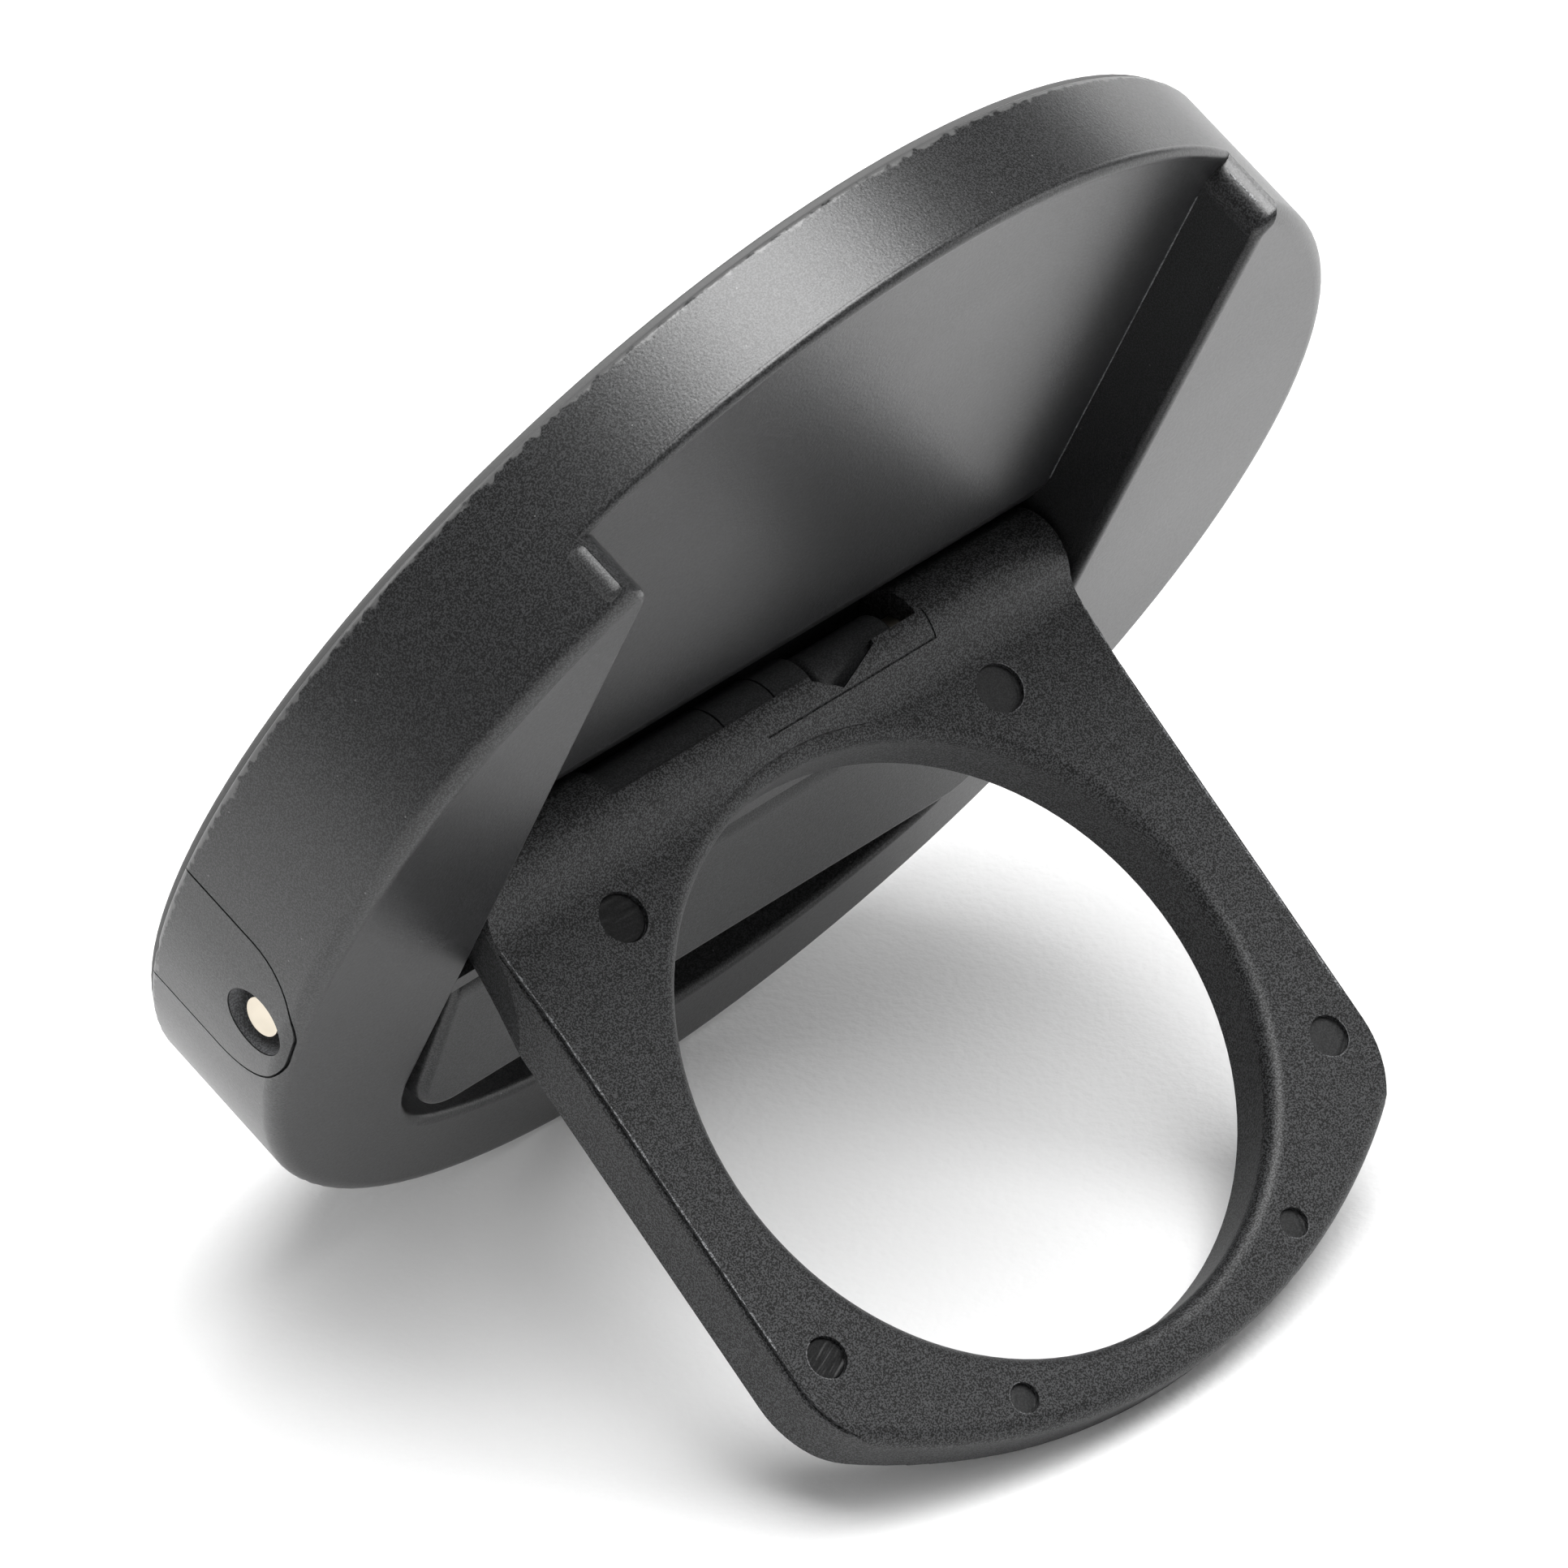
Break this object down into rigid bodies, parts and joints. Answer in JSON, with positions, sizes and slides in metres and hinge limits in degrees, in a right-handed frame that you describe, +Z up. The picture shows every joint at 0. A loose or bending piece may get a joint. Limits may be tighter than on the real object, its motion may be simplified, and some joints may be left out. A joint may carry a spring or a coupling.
{
  "type": "magnetic webcam phone mount",
  "caption": "Round magnetic phone mount standing like an easel: a disc with a magnet ring, a folding stand flap with a finger hole, and a short flap that hooks over a screen lid.",
  "frame": {"origin": "centre of the bounding box on the floor, with the mount standing on the disc's edge and the stand flap's tip", "axes": "+Z up; +X along the hinge pin, from the end seen in the rim to the blind end; the magnet face looks to +Y and up"},
  "size_m": [0.058, 0.0416, 0.0549],
  "materials": {
    "charcoal_plastic": "matte moulded",
    "flap_plastic": "fine spark texture",
    "inner_plastic": "plain moulded",
    "sleeve_plastic": "smooth",
    "grip_silicone": "soft matte",
    "shunt_steel": "rolled sheet",
    "pin_steel": "ground",
    "magnet_plating": "nickel plated"
  },
  "bodies": {
    "housing": {"back_housing": "charcoal_plastic", "front_cover": "inner_plastic", "grip_sheet": "grip_silicone", "shunt_ring": "shunt_steel", "hinge_pin": "pin_steel", "magnet_01": "magnet_plating", "magnet_02": "magnet_plating", "magnet_03": "magnet_plating", "magnet_04": "magnet_plating", "magnet_05": "magnet_plating", "magnet_06": "magnet_plating", "magnet_07": "magnet_plating", "magnet_08": "magnet_plating", "magnet_09": "magnet_plating", "magnet_10": "magnet_plating", "magnet_11": "magnet_plating", "magnet_12": "magnet_plating", "magnet_13": "magnet_plating", "magnet_14": "magnet_plating", "magnet_15": "magnet_plating", "magnet_16": "magnet_plating"},
    "stand": {"stand_flap": "flap_plastic", "friction_sleeve_long": "sleeve_plastic", "friction_sleeve_mid": "sleeve_plastic", "friction_sleeve_short": "sleeve_plastic", "friction_clip": "sleeve_plastic"},
    "lid": {"lid_flap": "flap_plastic"}
  },
  "joints": [
    {"name": "stand_fold", "type": "hinge", "parent": "housing", "child": "stand", "pos_m": [0, 0.00406, 0.02308], "axis": [1, 0, 0], "range_deg": [-104.2, 0]},
    {"name": "lid_fold", "type": "hinge", "parent": "housing", "child": "lid", "pos_m": [0, 0.00556, 0.01829], "axis": [-1, 0, 0], "range_deg": [-5.5, 64.5]}
  ]
}
